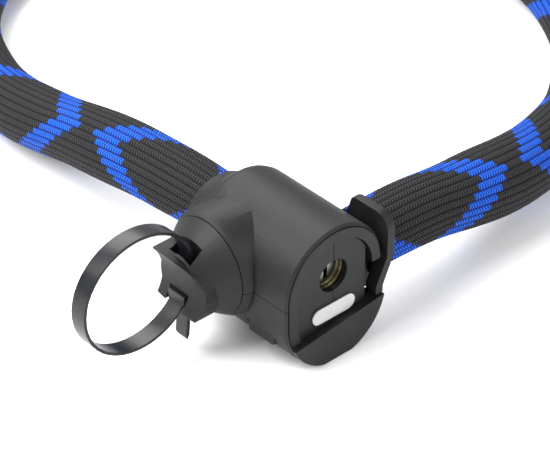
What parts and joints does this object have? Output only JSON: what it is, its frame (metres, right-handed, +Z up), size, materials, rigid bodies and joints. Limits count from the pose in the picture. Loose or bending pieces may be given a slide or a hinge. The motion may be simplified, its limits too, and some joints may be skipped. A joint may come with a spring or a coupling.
{
  "type": "bicycle chain lock",
  "caption": "Keyed lock head with a steel chain in a woven sleeve, plug-in chain end and a cable-tie transport bracket.",
  "frame": {"origin": "centre of the flat foot under the lock head", "axes": "+Z up, the keyed front face towards -Y, the plug-in chain end on the +X side"},
  "size_m": [0.3944, 0.3632, 0.07],
  "materials": {
    "moulded_black": "fine textured moulding",
    "strap": "glossy nylon",
    "hard_steel": "hardened, ground",
    "zinc": "bright plating",
    "brass": "turned",
    "sleeve_weave": "ribbed weave, black with blue patches",
    "badge": "light grey, plain",
    "rubber": "matt"
  },
  "bodies": {
    "lock_body": {"casing_upper": "moulded_black", "casing_lower": "moulded_black", "front_bezel": "moulded_black", "face_plate": "moulded_black", "face_trim": "moulded_black", "badge": "badge", "lower_bumper": "moulded_black", "casing_screw_front": "zinc", "casing_screw_middle": "zinc", "casing_screw_rear": "zinc", "steel_body": "hard_steel", "cylinder_housing": "brass", "latch_spring": "zinc", "anchor_pin": "hard_steel", "sleeve_left": "sleeve_weave", "chain_link_01": "hard_steel", "chain_link_02": "hard_steel", "chain_link_03": "hard_steel", "chain_link_04": "hard_steel", "chain_link_05": "hard_steel", "chain_link_06": "hard_steel", "chain_link_07": "hard_steel", "chain_link_08": "hard_steel", "chain_link_09": "hard_steel", "chain_link_10": "hard_steel", "chain_link_11": "hard_steel", "chain_link_12": "hard_steel", "chain_link_13": "hard_steel", "chain_link_14": "hard_steel", "chain_link_15": "hard_steel", "bracket_hub": "moulded_black", "hub_screw": "zinc"},
    "core": {"lock_core": "brass", "core_face": "zinc", "core_driver": "zinc"},
    "latch": {"latch_bolt": "hard_steel"},
    "plug": {"plug_housing": "moulded_black", "plug_tongue": "hard_steel", "plug_pin": "hard_steel", "sleeve_right": "sleeve_weave", "chain_link_16": "hard_steel", "chain_link_17": "hard_steel", "chain_link_18": "hard_steel", "chain_link_19": "hard_steel", "chain_link_20": "hard_steel", "chain_link_21": "hard_steel", "chain_link_22": "hard_steel", "chain_link_23": "hard_steel", "chain_link_24": "hard_steel", "chain_link_25": "hard_steel", "chain_link_26": "hard_steel", "chain_link_27": "hard_steel", "chain_link_28": "hard_steel", "chain_link_29": "hard_steel", "chain_link_30": "hard_steel"},
    "bracket_slider": {"bracket_bush": "rubber"},
    "bracket": {"bracket_shell": "moulded_black", "cable_tie": "strap"},
    "release": {"release_button": "moulded_black", "release_spring": "zinc"}
  },
  "joints": [
    {"name": "core_turn", "type": "hinge", "parent": "lock_body", "child": "core", "pos_m": [0, 0, 0.0394], "axis": [0, 1, 0], "range_deg": [0, 90]},
    {"name": "latch_slide", "type": "slide", "parent": "lock_body", "child": "latch", "axis": [0, 0, 1], "range_m": [-0.003, 0], "deforming": ["latch_spring"]},
    {"name": "plug_pull", "type": "slide", "parent": "lock_body", "child": "plug", "axis": [1, 0, 0], "range_m": [0, 0.02]},
    {"name": "bracket_unplug", "type": "slide", "parent": "lock_body", "child": "bracket_slider", "axis": [-1, 0, 0], "range_m": [0, 0.012]},
    {"name": "bracket_turn", "type": "hinge", "parent": "bracket_slider", "child": "bracket", "pos_m": [-0.034, 0.0137, 0.0365], "axis": [1, 0, 0], "range_deg": [-45, 45]},
    {"name": "release_press", "type": "slide", "parent": "lock_body", "child": "release", "axis": [1, 0, 0], "range_m": [0, 0.002], "stiffness_N_per_m": 300}
  ],
  "couplings": [
    {"joint": "latch_slide", "follows": "core_turn", "m_per_rad": -0.0019}
  ]
}
